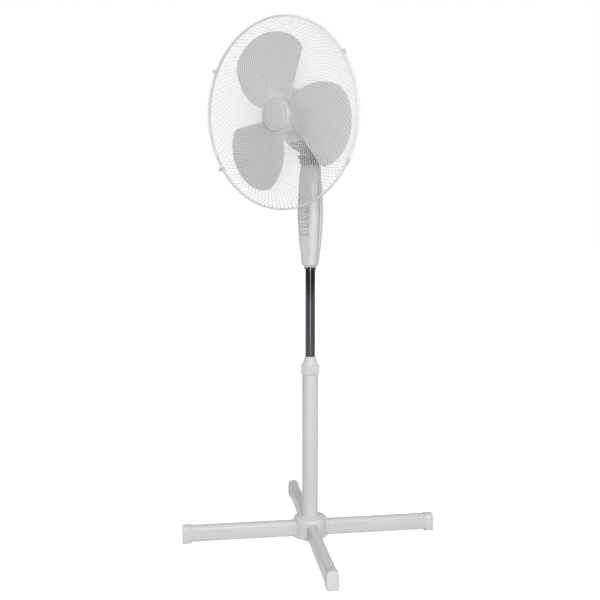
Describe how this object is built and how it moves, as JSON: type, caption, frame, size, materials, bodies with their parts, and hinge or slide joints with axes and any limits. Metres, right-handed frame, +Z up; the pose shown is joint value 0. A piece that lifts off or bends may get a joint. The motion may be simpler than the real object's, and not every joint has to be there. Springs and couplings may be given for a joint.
{
  "type": "pedestal fan",
  "caption": "Oscillating pedestal fan with a wire cage, wide blades, a control housing with push buttons, a telescopic pole and a cross-shaped base.",
  "frame": {"origin": "on the floor, on the pole's centre line", "axes": "+Z up along the pole, the fan blows towards -Y, the legs lie on the diagonals between X and Y"},
  "size_m": [0.4658, 0.4658, 1.2333],
  "materials": {
    "bar_steel": "satin",
    "white_plastic": "satin",
    "hub_plastic": "satin",
    "zinc": "brushed",
    "pole_paint": "satin",
    "pole_chrome": "polished",
    "bush_plastic": "matte",
    "collet_plastic": "matte",
    "button_plastic": "satin",
    "inner_plastic": "matte",
    "capacitor_case": "matte",
    "gland_rubber": "matte",
    "grille_wire": "gloss",
    "blade_plastic": "satin",
    "core_steel": "matte",
    "coil_copper": "gloss",
    "end_bell_alloy": "matte",
    "bearing_bronze": "matte",
    "shaft_steel": "polished"
  },
  "bodies": {
    "stand": {"cross_bar_lower": "bar_steel", "cross_bar_upper": "bar_steel", "foot_cap_1": "white_plastic", "foot_cap_2": "white_plastic", "foot_cap_3": "white_plastic", "foot_cap_4": "white_plastic", "base_hub_cover": "hub_plastic", "pole_foot": "zinc", "base_screws": "zinc", "outer_pole": "pole_paint", "pole_collet": "collet_plastic"},
    "collar": {"height_collar": "white_plastic"},
    "slider": {"slide_bush": "bush_plastic"},
    "mast": {"inner_pole": "pole_chrome", "housing_front": "white_plastic", "housing_rear": "white_plastic", "housing_screws": "zinc", "pole_set_screw": "zinc", "switch_block": "inner_plastic", "capacitor": "capacitor_case", "cable_gland": "gland_rubber", "tilt_post": "collet_plastic"},
    "button_off": {"button_off": "button_plastic"},
    "button_low": {"button_low": "button_plastic"},
    "button_medium": {"button_medium": "button_plastic"},
    "button_high": {"button_high": "button_plastic"},
    "neck": {"tilt_neck": "white_plastic", "tilt_bolt": "zinc"},
    "tilt_knob": {"tilt_knob": "white_plastic"},
    "link": {"link_bar": "zinc"},
    "head": {"swivel_bracket": "white_plastic", "motor_front_cover": "white_plastic", "motor_rear_cover": "white_plastic", "motor_cover_screws": "zinc", "stator_core": "core_steel", "stator_coils": "coil_copper", "motor_bolts": "zinc", "end_bell_front": "end_bell_alloy", "end_bell_rear": "end_bell_alloy", "bearing_front": "bearing_bronze", "bearing_rear": "bearing_bronze", "gearbox": "inner_plastic", "rear_grille": "grille_wire", "grille_nut": "white_plastic", "front_grille": "grille_wire", "grille_badge": "white_plastic"},
    "crank": {"crank": "zinc"},
    "swing_knob": {"swing_knob": "white_plastic"},
    "rotor": {"rotor_core": "core_steel", "motor_shaft": "shaft_steel", "fan_blade": "blade_plastic", "spinner": "white_plastic"},
    "clip_1": {"grille_clip_1": "white_plastic"},
    "clip_2": {"grille_clip_2": "white_plastic"},
    "clip_3": {"grille_clip_3": "white_plastic"},
    "clip_4": {"grille_clip_4": "white_plastic"}
  },
  "joints": [
    {"name": "height_slide", "type": "slide", "parent": "stand", "child": "slider", "axis": [0, 0, 1], "range_m": [-0.21, 0.01]},
    {"name": "collar_turn", "type": "hinge", "parent": "stand", "child": "collar", "pos_m": [0, 0, 0.42], "axis": [0, 0, 1], "range_deg": [0, 180]},
    {"name": "mast_swivel", "type": "hinge", "parent": "slider", "child": "mast", "pos_m": [0, 0, 0.5], "axis": [0, 0, 1], "range_deg": [-180, 180]},
    {"name": "button_off_press", "type": "slide", "parent": "mast", "child": "button_off", "axis": [0, 1, 0], "range_m": [0, 0.0035], "stiffness_N_per_m": 300, "springref_m": -0.003},
    {"name": "button_low_press", "type": "slide", "parent": "mast", "child": "button_low", "axis": [0, 1, 0], "range_m": [0, 0.0035], "stiffness_N_per_m": 300, "springref_m": -0.003},
    {"name": "button_medium_press", "type": "slide", "parent": "mast", "child": "button_medium", "axis": [0, 1, 0], "range_m": [0, 0.0035], "stiffness_N_per_m": 300, "springref_m": -0.003},
    {"name": "button_high_press", "type": "slide", "parent": "mast", "child": "button_high", "axis": [0, 1, 0], "range_m": [0, 0.0035], "stiffness_N_per_m": 300, "springref_m": -0.003},
    {"name": "head_tilt", "type": "hinge", "parent": "mast", "child": "neck", "pos_m": [0, 0, 0.924], "axis": [1, 0, 0], "range_deg": [-20, 14]},
    {"name": "tilt_knob_turn", "type": "hinge", "parent": "neck", "child": "tilt_knob", "pos_m": [0.03, 0, 0.924], "axis": [1, 0, 0], "range_deg": [-180, 180]},
    {"name": "head_swing", "type": "hinge", "parent": "neck", "child": "head", "pos_m": [0, -0.00235, 0.95391], "axis": [0, -0.0785, 0.9969], "range_deg": [-40, 40]},
    {"name": "link_swing", "type": "hinge", "parent": "neck", "child": "link", "pos_m": [0.018, -0.00132, 0.94075], "axis": [0, -0.0785, 0.9969], "range_deg": [-35.6, 35.6]},
    {"name": "crank_turn", "type": "hinge", "parent": "head", "child": "crank", "pos_m": [0, 0.04172, 0.96741], "axis": [0, -0.0785, 0.9969], "range_deg": [-94.4, 94.4]},
    {"name": "swing_knob_pull", "type": "slide", "parent": "head", "child": "swing_knob", "axis": [0, -0.0785, 0.9969], "range_m": [0, 0.008]},
    {"name": "blade_spin", "type": "hinge", "parent": "head", "child": "rotor", "pos_m": [0, -0.00816, 1.02768], "axis": [0, -0.9969, -0.0785], "continuous": true},
    {"name": "clip_1_flip", "type": "hinge", "parent": "head", "child": "clip_1", "pos_m": [0.18089, -0.12809, 1.13162], "axis": [-0.5299, -0.0665, 0.8454], "range_deg": [0, 60]},
    {"name": "clip_2_flip", "type": "hinge", "parent": "head", "child": "clip_2", "pos_m": [-0.18089, -0.12809, 1.13162], "axis": [-0.5299, 0.0665, -0.8454], "range_deg": [0, 60]},
    {"name": "clip_3_flip", "type": "hinge", "parent": "head", "child": "clip_3", "pos_m": [-0.18089, -0.11035, 0.90626], "axis": [0.5299, 0.0665, -0.8454], "range_deg": [0, 60]},
    {"name": "clip_4_flip", "type": "hinge", "parent": "head", "child": "clip_4", "pos_m": [0.18089, -0.11035, 0.90626], "axis": [0.5299, -0.0665, 0.8454], "range_deg": [0, 60]}
  ],
  "couplings": [
    {"joint": "link_swing", "follows": "head_swing", "ratio": 0.89},
    {"joint": "crank_turn", "follows": "head_swing", "ratio": -2.36}
  ]
}
